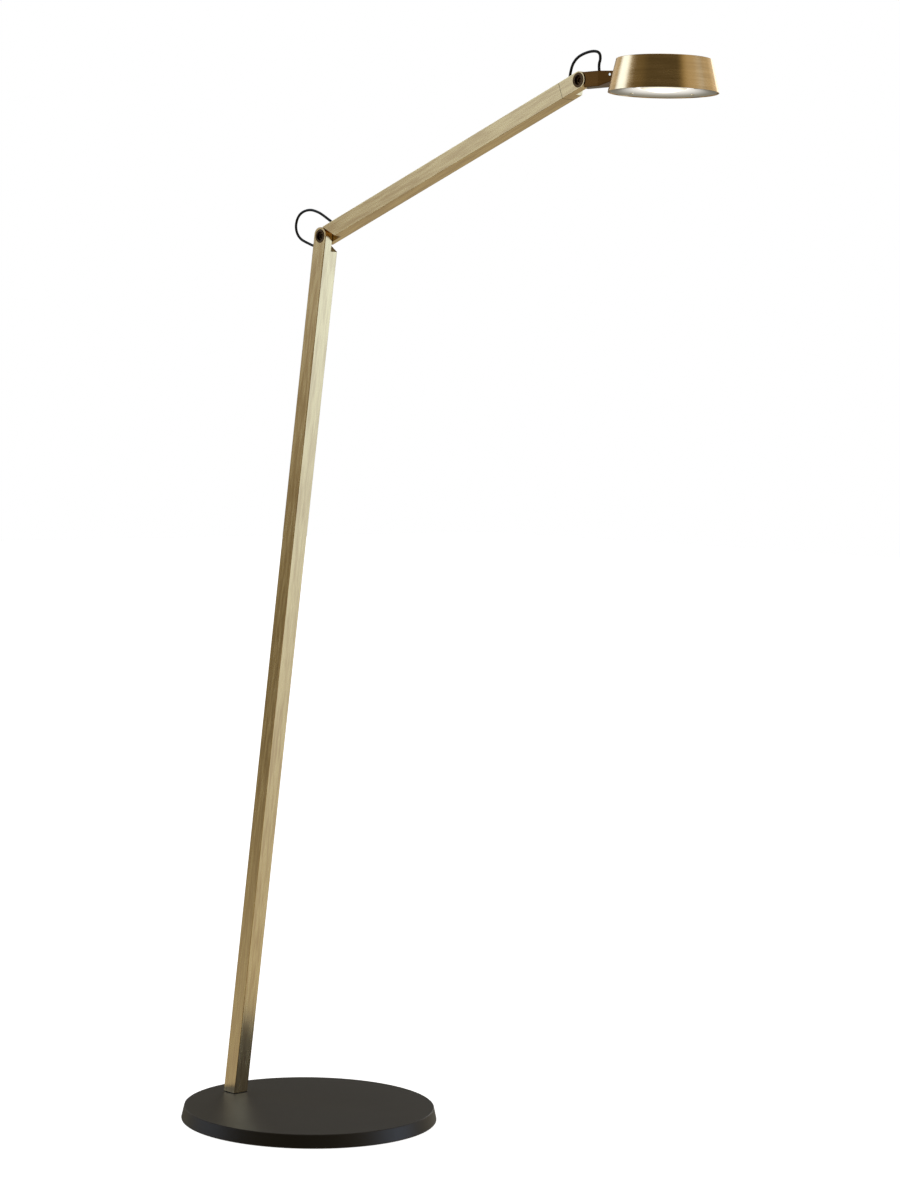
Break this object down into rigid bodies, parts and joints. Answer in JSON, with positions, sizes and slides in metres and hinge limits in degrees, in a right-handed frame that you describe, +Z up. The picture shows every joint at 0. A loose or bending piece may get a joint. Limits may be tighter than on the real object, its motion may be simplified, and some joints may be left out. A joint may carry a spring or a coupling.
{
  "type": "reading lamp",
  "caption": "Floor-standing reading lamp: black disc base, leaning square brass pole, half-lap elbow, brass arm with swivelling end and a tilting drum head with a downward light.",
  "frame": {"origin": "centre of the base's underside, on the floor", "axes": "+Z up, +X from the pole towards the head, -Y the side with the pivot bolt heads"},
  "size_m": [0.7512, 0.2994, 1.2101],
  "materials": {
    "black_base": "matt black powder coat",
    "underlay": "matt",
    "brushed_brass": "finely brushed, satin lacquered",
    "dark_bronze": "darkened, turned face",
    "steel": "bright",
    "bearing_plastic": "matt",
    "black_sleeve": "satin",
    "black_cable": "satin",
    "cast_aluminium": "as machined",
    "grey_pad": "matt",
    "white_board": "white solder mask",
    "emitter": "glossy",
    "bright_reflector": "polished",
    "satin_bezel": "satin",
    "frosted_lens": "frosted"
  },
  "bodies": {
    "stand": {"base_disc": "black_base", "base_pad": "underlay", "pole_bolt": "steel", "bolt_washer": "steel", "foot_gasket": "underlay", "foot_insert": "steel", "pole_tube": "brushed_brass", "pole_core": "brushed_brass", "cord_inlet": "black_sleeve", "pole_sleeve": "black_sleeve", "pole_lead": "black_cable", "elbow_loop": "black_cable", "elbow_bolt": "dark_bronze", "elbow_washer": "bearing_plastic", "elbow_spring": "steel", "elbow_nut": "dark_bronze"},
    "arm": {"arm_tube": "brushed_brass", "arm_core": "brushed_brass", "arm_sleeve": "black_sleeve", "arm_lead": "black_cable", "swivel_bush": "bearing_plastic", "swivel_washer": "bearing_plastic"},
    "knuckle": {"arm_knuckle": "brushed_brass", "swivel_spring": "steel", "swivel_nut": "steel", "knuckle_sleeve": "black_sleeve", "knuckle_lead": "black_cable", "head_loop": "black_cable", "tilt_bolt": "dark_bronze", "tilt_washer": "bearing_plastic", "tilt_spring": "steel", "tilt_nut": "dark_bronze"},
    "head": {"neck": "brushed_brass", "neck_sleeve": "black_sleeve", "neck_lead": "black_cable", "neck_nipple": "steel", "nipple_nut": "steel", "nipple_saddle": "bearing_plastic", "set_screw": "steel", "head_shell": "brushed_brass", "thermal_pad": "grey_pad", "heat_sink": "cast_aluminium", "led_board": "white_board", "led_chip": "emitter", "reflector": "bright_reflector", "bezel": "satin_bezel", "bezel_screws": "steel", "lens": "frosted_lens"}
  },
  "joints": [
    {"name": "elbow", "type": "hinge", "parent": "stand", "child": "arm", "pos_m": [0.02987, -0.024, 1.02879], "axis": [0, -1, 0], "range_deg": [-50, 60], "deforming": ["elbow_loop"]},
    {"name": "swivel", "type": "hinge", "parent": "arm", "child": "knuckle", "pos_m": [0.43264, -0.024, 1.17938], "axis": [0.9367, 0, 0.3502], "range_deg": [-90, 90]},
    {"name": "tilt", "type": "hinge", "parent": "knuckle", "child": "head", "pos_m": [0.43264, -0.024, 1.17938], "axis": [0, -1, 0], "range_deg": [-35, 60], "deforming": ["head_loop"]}
  ]
}
